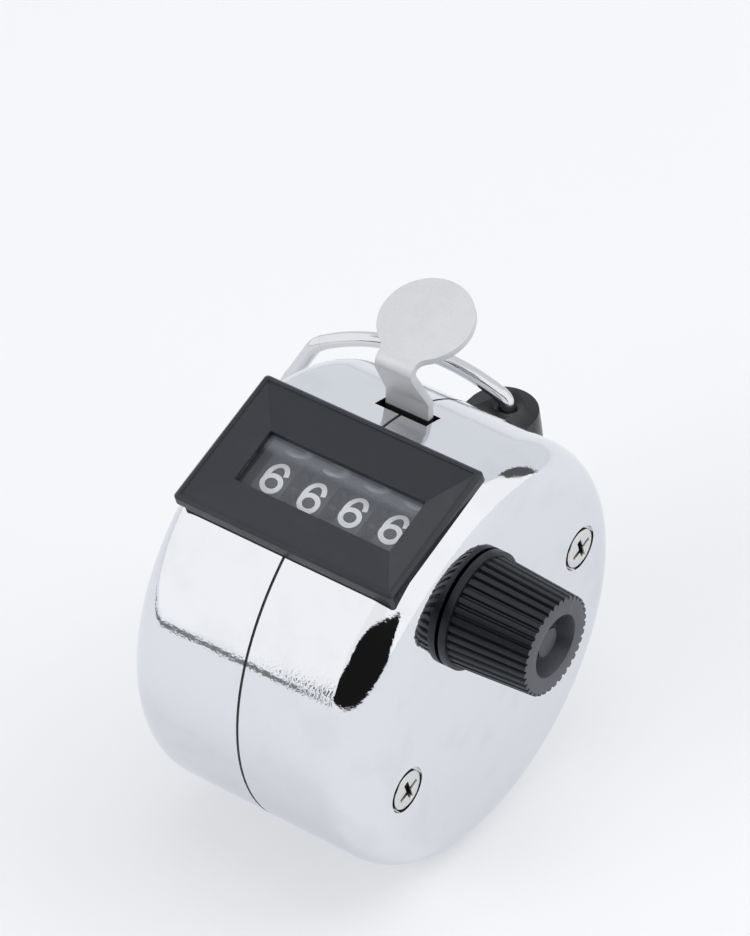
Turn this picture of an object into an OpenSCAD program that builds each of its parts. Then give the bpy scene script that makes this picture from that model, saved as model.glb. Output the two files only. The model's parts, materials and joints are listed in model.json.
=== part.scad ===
// Hand tally counter: a chrome drum in two halves, four number wheels behind a black
// window frame, a thumb lever on top, a reset knob at one end and a finger ring behind.
// The drum lies along X with its knob at +X. The window looks to -Y and up, +Z is up,
// and the origin is on the surface that it stands on, under the middle of the drum.

/* [Drum] */
// Outer diameter of the drum
drum_d = 45; // [43:0.5:50]
// Width of the drum from end face to end face
drum_w = 28.8; // [28.4:0.2:34]
// Radius of the rounded rim between the drum and its end faces
rim_r = 4.2; // [3:0.1:5]
// Sheet thickness of the two half shells
shell_t = 0.8; // [0.6:0.05:1]
// Width of the joint line round the middle
seam_w = 0.3; // [0.1:0.05:0.4]
// Depth of the joint line
seam_depth = 0.45; // [0.2:0.05:0.5]

/* [Window] */
// How far the window leans forward from straight up, in degrees
window_tilt = 19.4; // [15:0.2:30]
// Width of the window frame
frame_w = 25.7; // [24.6:0.1:27.4]
// Height of the window frame
frame_h = 16; // [15:0.1:18]
// How far the frame's front stands proud of the drum
frame_stand = 0.45; // [0.1:0.05:1]
// How far the frame sits above the middle of the drum, along its own face
frame_up = -0.2; // [-0.5:0.05:1]
// Thickness of the frame's plate past the drum
frame_t = 1.3; // [1:0.05:1.6]
// Width of the raised rim round the frame's sloping faces
frame_rim = 0.65; // [0.5:0.05:1]
// Depth of the small step inside that rim
rim_step = 0.2; // [0.1:0.05:0.4]
// Chamfer along the frame's outer edges
frame_chamfer = 0.3; // [0.2:0.05:0.4]
// Width of the window opening
opening_w = 18.3; // [18:0.1:19.6]
// Height of the window opening
opening_h = 6.2; // [5.8:0.1:6.6]
// How deep the sloping faces run in
slope_depth = 1.2; // [0.5:0.05:1.4]
// Depth of the straight wall from the slopes to the lens
ledge_t = 0.7; // [0.5:0.05:1.1]
// Thickness of the clear lens
lens_t = 0.9; // [0.6:0.05:1]
// How much larger than the opening the lens is, on each side
lens_lap = 0.9; // [0.4:0.05:1]

/* [Number wheels] */
// Radius of the number wheels
wheel_r = 7.9; // [7.5:0.05:8.1]
// Distance from one number wheel to the next
wheel_pitch = 4.6; // [4.56:0.02:4.8]
// Width of the band that carries the digits
band_w = 2.9; // [2.7:0.05:3]
// Gap from the lens to the front of the wheels
wheel_gap = 1; // [0.6:0.05:1.4]
// Width of the gear on the side of a wheel
gear_w = 0.75; // [0.5:0.05:0.8]
// Width of the carry teeth on the other side of a wheel
carry_w = 0.6; // [0.4:0.05:0.7]
// How far the gear's tips stay below the digits
gear_step = 0.7; // [0.5:0.05:1]
// Diameter of the wheel shaft
shaft_d = 3; // [2.6:0.1:3.4]
// Diameter of the rod that carries the pinions
pinion_rod_d = 1.6; // [1.4:0.05:1.8]
// Tip radius of the ratchet on the units wheel
ratchet_r = 6.4; // [6:0.1:6.6]
// Depth of the ratchet's teeth
ratchet_tooth = 1.3; // [1:0.1:1.5]

/* [Reset knob] */
// Length of the knob's barrel past its lip
knob_l = 8.5; // [8:0.1:11]
// Diameter of the barrel at the lip
knob_base_d = 11.5; // [11:0.1:12]
// Diameter of the barrel at its end
knob_tip_d = 10.35; // [10:0.05:11]
// Diameter of the lip
knob_lip_d = 12.3; // [12.2:0.1:13.4]
// Thickness of the lip
knob_lip_t = 0.8; // [0.6:0.05:1.2]
// Number of ribs on the barrel
knob_ribs = 36; // [24:1:44]
// Depth of the grooves between the ribs
knob_rib_h = 0.38; // [0.2:0.02:0.5]
// Diameter of the dished recess in the knob's end
knob_dish_d = 6.6; // [6:0.1:7.4]
// Depth of the dished recess
knob_dish_depth = 1.8; // [1.4:0.1:3]

/* [Thumb lever] */
// Length of the lever's slot across the drum
slot_w = 6.1; // [5.8:0.1:6.6]
// Width of the slot from front to back
slot_l = 2.5; // [2.4:0.05:2.8]
// How far the slot lies behind the top of the drum
slot_y = 5.4; // [5.2:0.05:6]
// Sheet thickness of the lever
lever_t = 0.85; // [0.7:0.05:0.9]
// Width of the lever's stem where it passes the slot
stem_w = 5.1; // [4.4:0.1:5.2]
// Width of the lever's neck below the pad
neck_w = 4.3; // [3.6:0.1:4.8]
// Height of the bend at the neck above the drum
neck_rise = 7.35; // [6.5:0.05:8.5]
// How far the stem leans forward at the neck
neck_lean = 2.3; // [1.6:0.05:2.4]
// Radius of the round pad
pad_r = 4.85; // [4.6:0.05:6]
// Rise of the pad towards the back, in degrees
pad_tilt = 20; // [14:1:30]
// Travel of the lever when it is pressed
lever_travel = 3.4; // [3:0.1:3.5]

/* [Finger ring] */
// Diameter of the ring's wire
wire_d = 1.6; // [1.2:0.05:1.8]
// Radius of the ring's two long arms, at the middle of the wire
ring_arm_r = 19.7; // [18:0.1:23]
// Rise of an arm where it leaves the lug, in degrees
ring_rise = 30; // [24:1:36]
// Fall of an arm where it meets the corner, in degrees
ring_fall = 31; // [26:1:36]
// Radius of the ring's corners
ring_corner_r = 3.4; // [2.8:0.1:5]
// Slope of the straight stretch past a corner, in degrees
ring_slope = 61; // [55:1:65]
// Length of the straight stretch past a corner
ring_side = 4.9; // [3:0.1:6]
// Radius of the bend where the wire turns down into the lug
ring_bend_r = 1.6; // [1.4:0.05:1.8]
// How far the ring is swung from straight back towards -X, in degrees
ring_swing = 100; // [70:1:110]
// How far the hinge lies outside the drum
hinge_out = 0.3; // [0:0.05:1]
// Width of the lug that holds the ring
lug_w = 7.4; // [6.5:0.1:8]
// Height of the lug
lug_h = 22.8; // [21.4:0.1:24]
// How far the lug runs on past the hinge at its two ends
lug_end = 2.8; // [2.6:0.05:3.4]
// How much further the lug's curved back stands out in the middle
lug_bulge = 1.35; // [0.8:0.05:2]

/* [Fasteners and clearances] */
// Diameter of the screw heads
screw_head_d = 4.5; // [4:0.1:4.8]
// Diameter of the screws' shanks
screw_d = 1.9; // [1.6:0.05:2.1]
// How far the screws sit in from the drum's outside
screw_inset = 7; // [6.9:0.05:7.6]
// Angle of the screws from the horizontal, in degrees
screw_angle = 19.6; // [10:0.2:30]
// Radial gap round a turning shaft
run_gap = 0.05; // [0.03:0.01:0.08]
// Gap between parts that are fitted together
fit_gap = 0.05; // [0.03:0.01:0.1]
// Gap between parts that move past each other
move_gap = 0.3; // [0.2:0.05:0.35]
// Gap between parts that are pressed onto each other
press_gap = 0.02; // [0:0.01:0.03]

/* [Hidden] */
$fn = 64;
eps = 0.01;
over = 1;

// Drum
drum_r = drum_d / 2;
half_w = drum_w / 2;
inner_r = drum_r - shell_t;
wall_in = half_w - shell_t;

// Window, from the drum's axis outwards
frame_n = drum_r + frame_stand;
lens_front_n = frame_n - slope_depth - ledge_t;
lens_back_n = lens_front_n - lens_t;
wheel_front_n = lens_back_n - wheel_gap;
axis_n = wheel_front_n - wheel_r;
frame_step = 1.2;
lens_w = opening_w + 2 * lens_lap;
lens_h = opening_h + 2 * lens_lap;
sleeve_wall = 1.3;
sleeve_w = lens_w + 2 * fit_gap + 2 * sleeve_wall;
sleeve_h = lens_h + 2 * fit_gap + 4 * sleeve_wall;
sleeve_in = 1.3;
sleeve_n = lens_back_n - sleeve_in;

// Wheels, gears and pinions
wheel_count = 4;
digits = 10;
gear_teeth = 20;
pinion_teeth = 8;
gear_add = 0.8;
gear_ded = 1.05;
gear_press = 25;
gear_play = 0.12;
gear_m = (wheel_r - gear_step) / (gear_teeth / 2 + gear_add);
gear_tip = gear_m * (gear_teeth / 2 + gear_add);
gear_reach = gear_m * (gear_teeth + pinion_teeth) / 2;
carry_r = gear_m * (gear_teeth / 2 - gear_ded) - 0.1;
pinion_hub_r = gear_reach - gear_tip - move_gap;
pinion_side = 0.15;
hub_r = shaft_d / 2 + 1.5;
dish_r = wheel_r - 1.6;
dish_depth = 0.8;
shaft_r = shaft_d / 2;
ratchet_w = 1;
ratchet_x = wheel_x(3) + band_w / 2 + fit_gap;
bush_wall = 1;
bush_r = shaft_r + bush_wall;
bush_lip = 0.8;
bush_flange_r = bush_r + bush_lip;
bush_flange_t = 0.5;
clip_t = 0.5;
clip_play = 0.2;
clip_r = shaft_r + 1.1;
clip_groove_r = shaft_r - 0.4;
clip_x = ratchet_x + ratchet_w + fit_gap + clip_play;
key_inset = 0.5;
key_w = 0.7;
key_depth = 0.5;

// Frame plates just outside the row of wheels, each clamped between a post's shoulder and a boss of its shell
plate_t = 1;
plate_in = clip_x + clip_t + clip_play + bush_flange_t;
plate_out = plate_in + plate_t;
plate_clear = 0.5;
rim_in_r = rim_r - shell_t;
rim_x = half_w - rim_r;
plate_rim = sqrt(rim_in_r * rim_in_r - pow(max(0, plate_out - rim_x), 2));
plate_r = drum_r - rim_r + plate_rim - plate_clear;

// Knob
knob_gap = 0.2;
knob_x = half_w + knob_gap;
knob_tip_x = knob_x + knob_lip_t + knob_l;
knob_socket = knob_l + knob_lip_t - knob_dish_depth - 1.4;
knob_boss_d = 3;
knob_boss_h = 0.9;

// Lever
surface_z = sqrt(drum_r * drum_r - slot_y * slot_y);
inside_z = sqrt(inner_r * inner_r - pow(slot_y + slot_l / 2, 2));
stem_back_gap = 0.55;
blade_y = slot_y + slot_l / 2 - stem_back_gap - lever_t / 2;
blade_front = blade_y - lever_t / 2;
blade_back = blade_y + lever_t / 2;
blade_w = slot_w + 2;
blade_top = inside_z - 0.4;
blade_bottom = 2.2;
lean_rise = 1.8;
lean_start = surface_z + lean_rise;
neck_z = surface_z + neck_rise;
neck_y = blade_y - neck_lean;
bend_r = 0.9;
neck_fillet = 1.2;
foot_l = 4.4;
foot_w = 4.6;
stud_d = 2;
stud_head_d = 3.2;
stud_head_t = 0.4;
stud_gap = 0.2;
stud_low = 7.4;
stud_high = 13.4;
guide_t = 1;
guide_front = blade_back + move_gap;
guide_low = stud_low - 2.6;
guide_high = stud_high + 2.6;
arm_h = 3.4;
arm_right = ratchet_x + ratchet_w + 0.5;
arm_mid = window_point(frame_up, axis_n)[2] + lever_travel / 2;

// Pawl and detent, each just outside the circle of the ratchet's tips
pawl_w = 0.8;
pawl_t = 0.4;
pawl_x = ratchet_x + (ratchet_w - pawl_w) / 2;
rivet_d = 1;
rivet_h = move_gap / 2;
wheel_axis_y = window_point(frame_up, axis_n)[1];
wheel_axis_z = window_point(frame_up, axis_n)[2];
tip_y = wheel_axis_y + ratchet_r + move_gap;
detent_top = wheel_axis_z - ratchet_r - move_gap;
detent_t = 0.3;
detent_l = 8;
detent_tip = 0.8;
detent_block_l = 2.6;
detent_block_h = 2.4;

// Return spring
spring_wire = 0.5;
spring_r = 1.7;
spring_turns = 6;
spring_y = blade_front + foot_l - spring_r - spring_wire;
spring_high = blade_bottom - spring_wire / 2 - fit_gap;
bridge_top = -9.6;
bridge_t = 1;
spring_low = bridge_top + spring_wire / 2 + fit_gap;
bridge_margin = 0.6;
peg_r = spring_r - spring_wire / 2 - 0.25;
peg_h = 3;

// Screws and posts
screw_r = drum_r - screw_inset;
recess_r = screw_head_d / 2 + 0.2;
recess_depth = 0.75;
head_h = 0.45;
head_crown = 0.2;
head_round = 0.6;
boss_r = recess_r + 0.9;
screw_seat = half_w - recess_depth;
post_r = 2.2;
spigot_r = 1.65;
screw_reach = 6;
screw_spare = 0.5;
cross_l = 2.7;
cross_w = 0.6;
cross_depth = 0.5;

// Finger ring and lug
hinge_y = drum_r + hinge_out;
wire_r = wire_d / 2;
wire_swell = 0.02;
wire_lap = 0.12;
pin_l = 4;
mouth_depth = 0.4;
mouth_flare = 0.8;
bend_z = lug_h / 2 - mouth_depth;
arm_start = [0, bend_z] + ring_bend_r * [1 - sin(ring_rise), cos(ring_rise)];
corner_start = arm_start + ring_arm_r * [sin(ring_rise) + sin(ring_fall), cos(ring_fall) - cos(ring_rise)];
side_start = corner_start + ring_corner_r * [sin(ring_slope) - sin(ring_fall), cos(ring_slope) - cos(ring_fall)];
bow_start = side_start + ring_side * [cos(ring_slope), -sin(ring_slope)];
bow_r = bow_start[1] / cos(ring_slope);
lug_arc_r = (lug_h * lug_h / 4 + lug_bulge * lug_bulge) / (2 * lug_bulge);
lug_arc_y = hinge_y + lug_end + lug_bulge - lug_arc_r;
lug_nose = lug_arc_r - lug_w / 2;
lug_turn = asin(lug_h / 2 / (drum_r / 2 - lug_arc_y)) + 2;
flange_side = 1.6;
flange_t = 1.2;
lug_back_r = inner_r - fit_gap - flange_t;

// Middle of number wheel i along X, from the thousands at -X to the units at +X
function wheel_x(i) = (i - (wheel_count - 1) / 2) * wheel_pitch;

// A point of the window's own plane, up along the frame and out along its normal
function window_point(up, out) =
    [0, up * cos(window_tilt) - out * sin(window_tilt), up * sin(window_tilt) + out * cos(window_tilt)];

// Involute angle of a point at radius r over base circle base_r, in degrees
function involute(base_r, r) =
    let (a = acos(min(1, base_r / r))) tan(a) * 180 / PI - a;

// Outline of a spur gear, each tooth as root, flank, tip and flank
function gear_outline(teeth) =
    let (
        pitch_r = gear_m * teeth / 2,
        base_r = pitch_r * cos(gear_press),
        root_r = pitch_r - gear_ded * gear_m,
        tip_r = pitch_r + gear_add * gear_m,
        flank_r = max(base_r, root_r),
        steps = 4,
        half_pitch = 90 / teeth - gear_play / 2 / pitch_r * 180 / PI,
        half = [for (k = [0:steps]) let (r = flank_r + (tip_r - flank_r) * k / steps)
            [r, half_pitch + involute(base_r, pitch_r) - involute(base_r, r)]],
        side = concat([[root_r, half[0][1] + 1]], half)
    )
    [for (i = [0:teeth - 1], k = [0:2 * len(side) - 1])
        let (
            rising = k < len(side),
            p = side[rising ? k : 2 * len(side) - 1 - k],
            a = i * 360 / teeth + (rising ? -p[1] : p[1])
        )
        p[0] * [cos(a), sin(a)]];

// Outline of the ratchet: each tooth drops steeply and rises to the next tip
function ratchet_outline() =
    [for (i = [0:digits - 1], k = [0:1])
        let (
            r = k == 0 ? ratchet_r : ratchet_r - ratchet_tooth,
            a = i * 360 / digits + k * 3
        )
        r * [cos(a), sin(a)]];

// Outline of a strip of sheet that follows a list of points in one plane
function strip_side(path, offset) =
    [for (i = [0:len(path) - 1])
        let (
            before = path[max(0, i - 1)],
            after = path[min(len(path) - 1, i + 1)],
            d = (after - before) / norm(after - before)
        )
        path[i] + offset * [-d[1], d[0]]];
function strip_outline(path, t) =
    concat(strip_side(path, t / 2), [for (i = [len(path) - 1:-1:0]) strip_side(path, -t / 2)[i]]);

// Points of an arc in one plane, from angle a to angle b
function arc(centre, r, a, b, steps) =
    [for (k = [0:steps]) let (t = a + (b - a) * k / steps) centre + r * [cos(t), sin(t)]];

// The whole object stands on the drum's lowest line
module on_drum() {
    translate([0, 0, drum_r]) children();
}

// Local y runs up the window frame, local z out of the window
module in_window() {
    on_drum() rotate([window_tilt, 0, 0]) translate([0, frame_up, 0]) children();
}

// Round bar along X from x0 to x1
module bar_x(x0, x1, r) {
    translate([x0, 0, 0]) rotate([0, 90, 0]) cylinder(r = r, h = x1 - x0);
}

// Flat outline in the YZ plane, extruded along X
module along_x(x0, length) {
    translate([x0, 0, 0]) rotate([90, 0, 90]) linear_extrude(length) children();
}

// Block given by its lowest and highest corners
module block(low, high) {
    translate(low) cube(high - low);
}

// Places of the two screws on an end face
module at_screws() {
    for (turn = [0, 180])
        rotate([screw_angle + turn, 0, 0]) translate([0, screw_r, 0]) children();
}

// Half of the drum as a solid, round over its rim, grown outwards by grow
module half_drum(grow) {
    r = drum_r + grow;
    w = half_w + grow;
    e = rim_r + grow;
    rotate([0, 90, 0]) rotate_extrude() {
        square([r, w - e]);
        square([r - e, w]);
        intersection() {
            translate([r - e, w - e]) circle(e);
            square([r, w]);
        }
    }
}

// Openings that both shells share across the joint line
module shell_openings() {
    rotate([window_tilt, 0, 0]) translate([0, frame_up, 0])
        block([-sleeve_w / 2 - fit_gap, -sleeve_h / 2 - fit_gap, drum_r / 2],
              [sleeve_w / 2 + fit_gap, sleeve_h / 2 + fit_gap, drum_r + over]);
    block([-slot_w / 2, slot_y - slot_l / 2, drum_r / 2], [slot_w / 2, slot_y + slot_l / 2, drum_r + over]);
    block([-lug_w / 2 - fit_gap, drum_r / 2, -lug_h / 2 - fit_gap],
          [lug_w / 2 + fit_gap, drum_r + 1, lug_h / 2 + fit_gap]);
}

// One half shell, built on the +X side
module half_shell() {
    difference() {
        union() {
            difference() {
                half_drum(0);
                half_drum(-shell_t);
            }
            at_screws() bar_x(plate_out, half_w - shell_t / 2, boss_r);
        }
        at_screws() bar_x(screw_seat, half_w + over, recess_r);
        at_screws() bar_x(0, half_w, screw_d / 2 + 2 * fit_gap);
        difference() {
            bar_x(-over, seam_w / 2, drum_r + over);
            bar_x(-2 * over, seam_w, drum_r - seam_depth);
        }
        shell_openings();
    }
}

module left_shell() {
    color("gainsboro") on_drum() mirror([1, 0, 0]) half_shell();
}

module right_shell() {
    color("gainsboro") on_drum() difference() {
        half_shell();
        rotate([window_tilt, 0, 0]) translate([0, frame_up, axis_n]) bar_x(0, half_w + over, bush_r + fit_gap);
    }
}

// Four-sided block that is w by h at z0 and wider by grow_w and grow_h on each side at z1
module taper(w, h, z0, z1, grow_w, grow_h) {
    corners = [[-1, -1], [1, -1], [1, 1], [-1, 1]];
    points = [for (level = [0, 1], c = corners)
        [c[0] * (w / 2 + level * grow_w), c[1] * (h / 2 + level * grow_h), level == 0 ? z0 : z1]];
    sides = [for (k = [0:3]) [k, k + 4, (k + 1) % 4 + 4, (k + 1) % 4]];
    polyhedron(points, concat([[0, 1, 2, 3], [7, 6, 5, 4]], sides));
}

module window_frame() {
    flat_n = frame_n - frame_chamfer;
    pocket_w = lens_w + 2 * fit_gap;
    pocket_h = lens_h + 2 * fit_gap;
    inner_w = frame_w - 2 * frame_rim;
    inner_h = frame_h - 2 * frame_rim;
    slope_w = (inner_w - opening_w) / 2;
    slope_h = (inner_h - opening_h) / 2;
    step_n = frame_n - rim_step;
    base_w = frame_w - 2 * frame_step;
    color("#2b2b2e") difference() {
        union() {
            difference() {
                in_window() {
                    block([-frame_w / 2, -frame_h / 2, frame_n - frame_t], [frame_w / 2, frame_h / 2, flat_n]);
                    block([-base_w / 2, -frame_h / 2, drum_r - rim_r], [base_w / 2, frame_h / 2, flat_n]);
                    taper(frame_w, frame_h, flat_n, frame_n, -frame_chamfer, -frame_chamfer);
                }
                on_drum() {
                    half_drum(fit_gap);
                    mirror([1, 0, 0]) half_drum(fit_gap);
                }
            }
            in_window() block([-sleeve_w / 2, -sleeve_h / 2, sleeve_n], [sleeve_w / 2, sleeve_h / 2, flat_n]);
        }
        in_window() {
            block([-opening_w / 2, -opening_h / 2, sleeve_n - over], [opening_w / 2, opening_h / 2, frame_n + over]);
            block([-pocket_w / 2, -pocket_h / 2, sleeve_n - over], [pocket_w / 2, pocket_h / 2, lens_front_n]);
            taper(opening_w, opening_h, frame_n - slope_depth, step_n + eps, slope_w, slope_h);
            block([-inner_w / 2, -inner_h / 2, step_n], [inner_w / 2, inner_h / 2, frame_n + over]);
        }
    }
}

module window_lens() {
    color([0.85, 0.9, 0.92, 0.4]) in_window()
        block([-lens_w / 2, -lens_h / 2, lens_back_n], [lens_w / 2, lens_h / 2, lens_front_n - fit_gap]);
}

// Frame plate on the +X side: a disc with its top cut away below the window's sleeve
module plate() {
    plate_top = sleeve_n - plate_clear;
    difference() {
        bar_x(plate_in, plate_out, plate_r);
        rotate([window_tilt, 0, 0]) {
            block([0, -drum_r, plate_top], [half_w, drum_r, drum_r]);
            translate([0, frame_up, axis_n]) bar_x(0, half_w, bush_r + fit_gap);
            translate([0, frame_up, axis_n - gear_reach]) bar_x(0, half_w, pinion_rod_d / 2 + fit_gap);
        }
        at_screws() bar_x(0, half_w, spigot_r + fit_gap);
    }
}

module left_plate() {
    color("darkgray") on_drum() mirror([1, 0, 0]) plate();
}

module right_plate() {
    color("darkgray") on_drum() plate();
}

module case_posts() {
    color("silver") on_drum() at_screws() difference() {
        union() {
            bar_x(-plate_in, plate_in, post_r);
            bar_x(-plate_out, plate_out, spigot_r);
        }
        for (side = [0, 1]) mirror([side, 0, 0])
            bar_x(screw_seat - screw_reach - screw_spare, plate_out + over, screw_d / 2 + fit_gap);
    }
}

// One screw on the +X side, with a crossed recess in its head
module screw() {
    difference() {
        union() {
            bar_x(screw_seat, screw_seat + head_h, screw_head_d / 2);
            translate([screw_seat + head_h, 0, 0]) rotate([0, 90, 0])
                cylinder(r1 = screw_head_d / 2, r2 = screw_head_d / 2 - head_round, h = head_crown);
            bar_x(screw_seat - screw_reach, screw_seat + eps, screw_d / 2);
        }
        for (turn = [0, 90]) rotate([turn, 0, 0])
            block([screw_seat + head_h + head_crown - cross_depth, -cross_l / 2, -cross_w / 2],
                  [half_w + over, cross_l / 2, cross_w / 2]);
    }
}

module left_screws() {
    color("silver") on_drum() mirror([1, 0, 0]) at_screws() screw();
}

module right_screws() {
    color("silver") on_drum() at_screws() screw();
}

module left_bush() {
    color("goldenrod") in_window() translate([0, 0, axis_n]) difference() {
        union() {
            bar_x(-plate_out, -plate_in, bush_r);
            bar_x(-plate_in, -plate_in + bush_flange_t, bush_flange_r);
        }
        bar_x(-half_w, 0, shaft_r + run_gap);
    }
}

module right_bush() {
    color("goldenrod") in_window() translate([0, 0, axis_n]) difference() {
        union() {
            bar_x(plate_in, half_w, bush_r);
            bar_x(plate_in - bush_flange_t, plate_in, bush_flange_r);
        }
        bar_x(0, half_w + over, shaft_r + run_gap);
    }
}

module pinion_rod() {
    color("silver") in_window() translate([0, 0, axis_n - gear_reach])
        bar_x(-plate_out, plate_out, pinion_rod_d / 2);
}

module lever_guide() {
    color("darkgray") on_drum() difference() {
        block([-plate_in, guide_front, guide_low], [plate_in, guide_front + guide_t, guide_high]);
        for (z = [stud_low, stud_high])
            translate([0, guide_front - over, z]) rotate([-90, 0, 0]) cylinder(d = stud_d + 2 * fit_gap, h = guide_t + 2 * over);
    }
}

module guide_studs() {
    stud_front = blade_front - stud_gap - stud_head_t;
    color("silver") on_drum() for (z = [stud_low, stud_high]) translate([0, 0, z]) rotate([-90, 0, 0]) {
        translate([0, 0, stud_front]) cylinder(d = stud_head_d, h = stud_head_t);
        translate([0, 0, stud_front]) cylinder(d = stud_d, h = guide_front + guide_t - stud_front);
    }
}

module spring_bridge() {
    reach = spring_r + spring_wire + bridge_margin;
    color("darkgray") on_drum() {
        block([-plate_in, spring_y - reach, bridge_top - bridge_t], [plate_in, spring_y + reach, bridge_top]);
        translate([0, spring_y, bridge_top - eps]) cylinder(r = peg_r, h = peg_h);
    }
}

module detent_block() {
    low_y = wheel_axis_y - detent_l;
    color("darkgray") on_drum()
        block([pawl_x, low_y - detent_block_l, detent_top - detent_t - detent_block_h],
              [plate_in, low_y, detent_top - detent_t - fit_gap]);
}

module detent_spring() {
    low_y = wheel_axis_y - detent_l;
    color("gainsboro") on_drum()
        block([pawl_x, low_y - detent_block_l, detent_top - detent_t],
              [pawl_x + pawl_w, wheel_axis_y + detent_tip, detent_top]);
}

module ring_lug() {
    color("#262628") on_drum() difference() {
        union() {
            intersection() {
                translate([0, lug_arc_y, 0]) rotate([0, 90, 0]) rotate([0, 0, 90 - lug_turn])
                    rotate_extrude(angle = 2 * lug_turn) {
                        translate([drum_r / 2 - lug_arc_y, -lug_w / 2])
                            square([lug_nose - drum_r / 2 + lug_arc_y, lug_w]);
                        translate([lug_nose, 0]) circle(d = lug_w);
                    }
                block([-lug_w, 0, -lug_h / 2], [lug_w, drum_d, lug_h / 2]);
            }
            intersection() {
                block([-lug_w / 2 - flange_side, drum_r / 2, -lug_h / 2 - flange_side],
                      [lug_w / 2 + flange_side, drum_r, lug_h / 2 + flange_side]);
                bar_x(-lug_w, lug_w, inner_r - fit_gap);
            }
        }
        bar_x(-lug_w, lug_w, lug_back_r);
        for (side = [0, 1]) mirror([0, 0, side]) translate([0, hinge_y, 0]) {
            translate([0, 0, bend_z - pin_l - move_gap]) cylinder(r = wire_r + run_gap, h = pin_l + 2 * over);
            translate([0, 0, bend_z]) cylinder(r1 = wire_r + run_gap, r2 = wire_r + run_gap + mouth_flare, h = mouth_depth + eps);
        }
    }
}

module wheel_shaft() {
    knob_end = knob_x + knob_socket - fit_gap;
    color("silver") in_window() translate([0, 0, axis_n]) difference() {
        bar_x(-plate_out, knob_end, shaft_r);
        difference() {
            bar_x(clip_x - fit_gap, clip_x + clip_t + fit_gap, shaft_r + over);
            bar_x(0, half_w, clip_groove_r);
        }
        block([-plate_in + bush_flange_t + key_inset, -key_w / 2, shaft_r - key_depth],
              [clip_x - key_inset, key_w / 2, shaft_r + over]);
    }
}

module shaft_clip() {
    color("dimgray") in_window() translate([0, 0, axis_n]) difference() {
        bar_x(clip_x, clip_x + clip_t, clip_r);
        bar_x(0, half_w, clip_groove_r + fit_gap);
        block([0, -clip_groove_r, 0], [half_w, clip_groove_r, clip_r + over]);
    }
}

// Star outline of the ribbed barrel at its base
module knob_star() {
    polygon([for (i = [0:knob_ribs - 1], k = [0:3])
        let (
            r = knob_base_d / 2 - (k < 2 ? 0 : knob_rib_h),
            a = (i + [0, 0.5, 0.65, 0.85][k]) * 360 / knob_ribs
        )
        r * [cos(a), sin(a)]]);
}

module reset_knob() {
    dish_x = knob_tip_x - knob_dish_depth;
    color("#222225") in_window() translate([0, 0, axis_n]) difference() {
        union() {
            bar_x(knob_x, knob_x + knob_lip_t, knob_lip_d / 2);
            translate([knob_x + knob_lip_t - eps, 0, 0]) rotate([0, 90, 0])
                linear_extrude(knob_l + eps, scale = knob_tip_d / knob_base_d) knob_star();
        }
        difference() {
            translate([dish_x, 0, 0]) rotate([0, 90, 0])
                cylinder(d1 = knob_dish_d - 1.2, d2 = knob_dish_d, h = knob_dish_depth + eps);
            bar_x(dish_x - over, dish_x + knob_boss_h, knob_boss_d / 2);
        }
        bar_x(knob_x - over, knob_x + knob_socket, shaft_r + press_gap);
    }
}

// Locking disc with two carry teeth, on the side that faces the next higher wheel
module carry_outline() {
    circle(carry_r);
    intersection() {
        polygon(gear_outline(gear_teeth));
        rotate(90) polygon([[0, 0], [gear_tip + 1, -gear_tip / 2.4], [gear_tip + 1, gear_tip / 2.4]]);
    }
}

// Number wheel i. The gear is on its +X side and the carry teeth on its -X side
module wheel(i) {
    x = wheel_x(i);
    side = band_w / 2;
    last = i == wheel_count - 1;
    in_window() translate([x, 0, axis_n]) difference() {
        union() {
            bar_x(-side, side, wheel_r);
            if (!last) along_x(side - eps, gear_w + eps) polygon(gear_outline(gear_teeth));
            if (last) bar_x(0, side + ratchet_w + 2 * fit_gap, hub_r);
            if (i > 0) along_x(-side - carry_w, carry_w + eps) carry_outline();
        }
        bar_x(-wheel_pitch, wheel_pitch, shaft_r + run_gap);
        if (i == 0) difference() {
            bar_x(-side - over, -side + dish_depth, dish_r);
            bar_x(-wheel_pitch, 0, hub_r);
        }
    }
}

module thousands_wheel() {
    color("#3a3b3f") wheel(0);
}

module hundreds_wheel() {
    color("#3a3b3f") wheel(1);
}

module tens_wheel() {
    color("#3a3b3f") wheel(2);
}

module units_wheel() {
    color("#3a3b3f") wheel(3);
}

module units_ratchet() {
    color("goldenrod") in_window() translate([0, 0, axis_n]) difference() {
        along_x(ratchet_x, ratchet_w) polygon(ratchet_outline());
        bar_x(ratchet_x - over, ratchet_x + ratchet_w + over, hub_r + press_gap);
    }
}

// Carry pinion between wheel i and the next lower one, toothed where it meets wheel i
module pinion(i) {
    low = wheel_x(i) + band_w / 2 + pinion_side;
    teeth_end = wheel_x(i + 1) - band_w / 2 - carry_w - pinion_side;
    high = wheel_x(i + 1) - band_w / 2 - pinion_side;
    in_window() translate([0, 0, axis_n - gear_reach]) difference() {
        union() {
            along_x(low, teeth_end - low) rotate(180 / pinion_teeth) polygon(gear_outline(pinion_teeth));
            bar_x(low, high, pinion_hub_r);
        }
        bar_x(low - over, high + over, pinion_rod_d / 2 + run_gap);
    }
}

module thousands_pinion() {
    color("ivory") pinion(0);
}

module hundreds_pinion() {
    color("ivory") pinion(1);
}

module tens_pinion() {
    color("ivory") pinion(2);
}

// Side view of the lever's sheet: blade, leaning stem, bend at the neck and pad
function lever_path() =
    let (
        lean = atan2(neck_lean, neck_z - bend_r - lean_start),
        centre = [neck_y + bend_r * cos(lean), neck_z - bend_r],
        bend = arc(centre, bend_r, 180 + lean, 90 + pad_tilt, 7),
        pad = bend[len(bend) - 1] + 2 * (pad_r + pad_r) * [cos(pad_tilt), sin(pad_tilt)]
    )
    concat([[blade_y, blade_bottom], [blade_y, lean_start]], bend, [pad]);

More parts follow.
